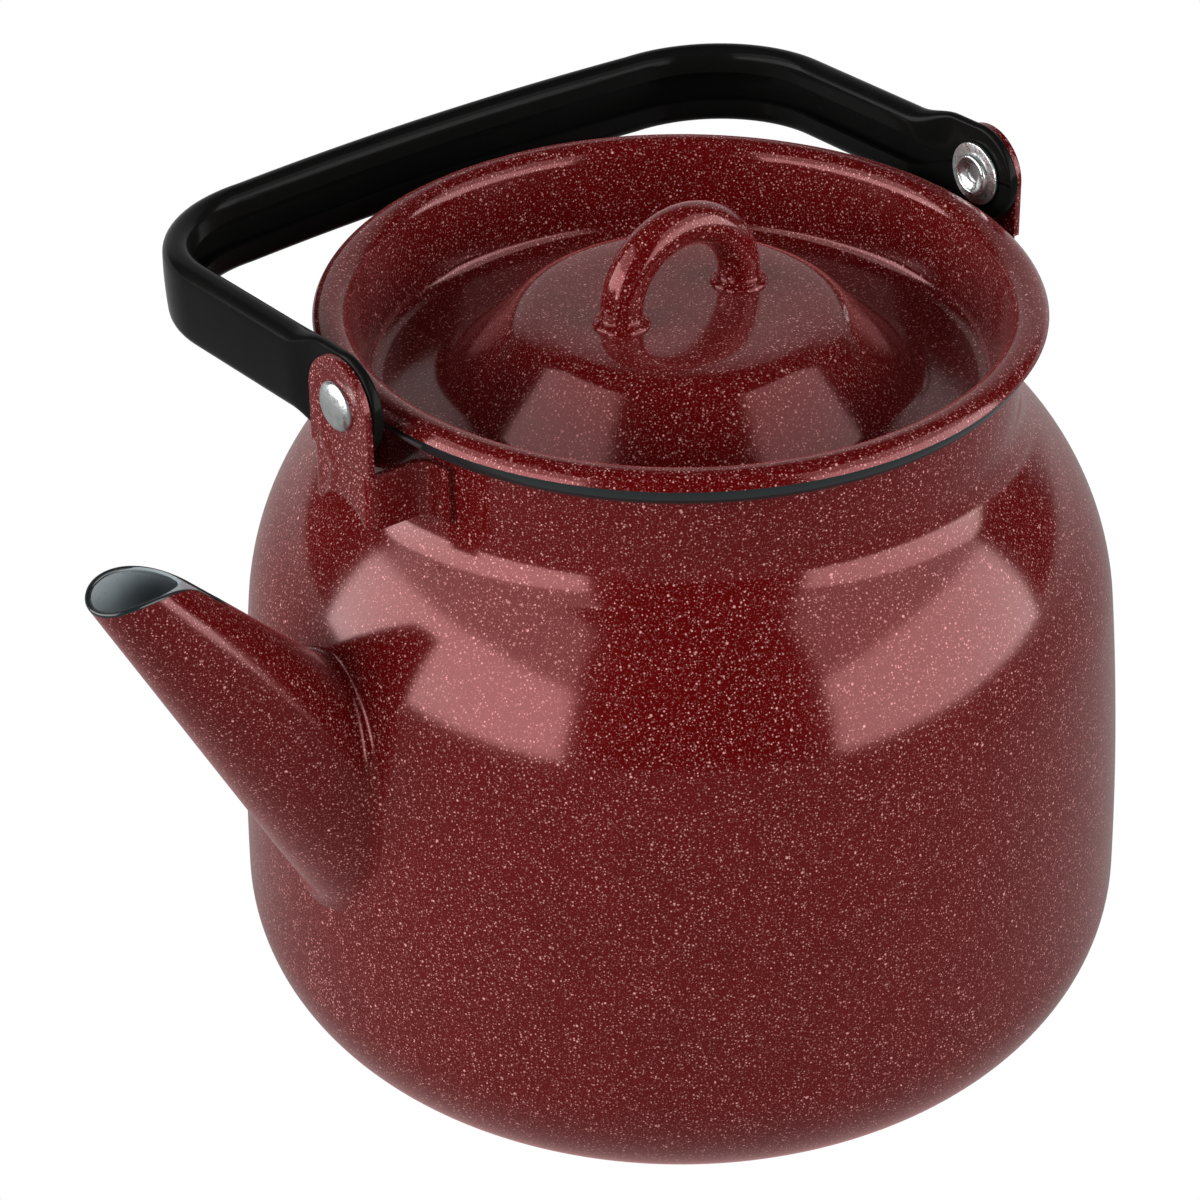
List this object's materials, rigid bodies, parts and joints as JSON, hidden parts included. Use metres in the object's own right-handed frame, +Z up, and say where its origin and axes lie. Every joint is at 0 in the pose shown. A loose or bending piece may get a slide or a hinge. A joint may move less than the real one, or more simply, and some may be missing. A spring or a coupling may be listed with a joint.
{
  "type": "stovetop kettle",
  "caption": "Enamelled steel stovetop kettle with an open conical spout, a dished lift-off lid with a rod loop, and a folding rolled-steel bail on riveted brackets.",
  "frame": {"origin": "centre of the foot ring, on the plane the kettle stands on", "axes": "+Z up, -X towards the spout, the bail's hinge axis along X, the resting bail lies towards +Y"},
  "size_m": [0.2452, 0.198, 0.1947],
  "materials": {
    "enamel": "glossy speckled vitreous enamel on steel",
    "black_enamel": "glossy black enamel on steel",
    "zinc": "bright zinc plating"
  },
  "bodies": {
    "kettle": {"base_pan": "enamel", "body_shell": "enamel", "mouth_bead": "black_enamel", "spout_half_left": "enamel", "spout_half_right": "enamel", "bracket_front": "enamel", "bracket_rear": "enamel", "rivet_front": "zinc", "rivet_rear": "zinc", "washer_front": "zinc", "washer_rear": "zinc"},
    "bail": {"bail_handle": "black_enamel"},
    "lid": {"lid_dish": "enamel", "lid_loop": "enamel"}
  },
  "joints": [
    {"name": "bail_swing", "type": "hinge", "parent": "kettle", "child": "bail", "pos_m": [0, 0, 0.17707], "axis": [1, 0, 0], "range_deg": [0, 187.2]},
    {"name": "lid_lift", "type": "slide", "parent": "kettle", "child": "lid", "axis": [0, 0, 1], "range_m": [0, 0.045]}
  ]
}
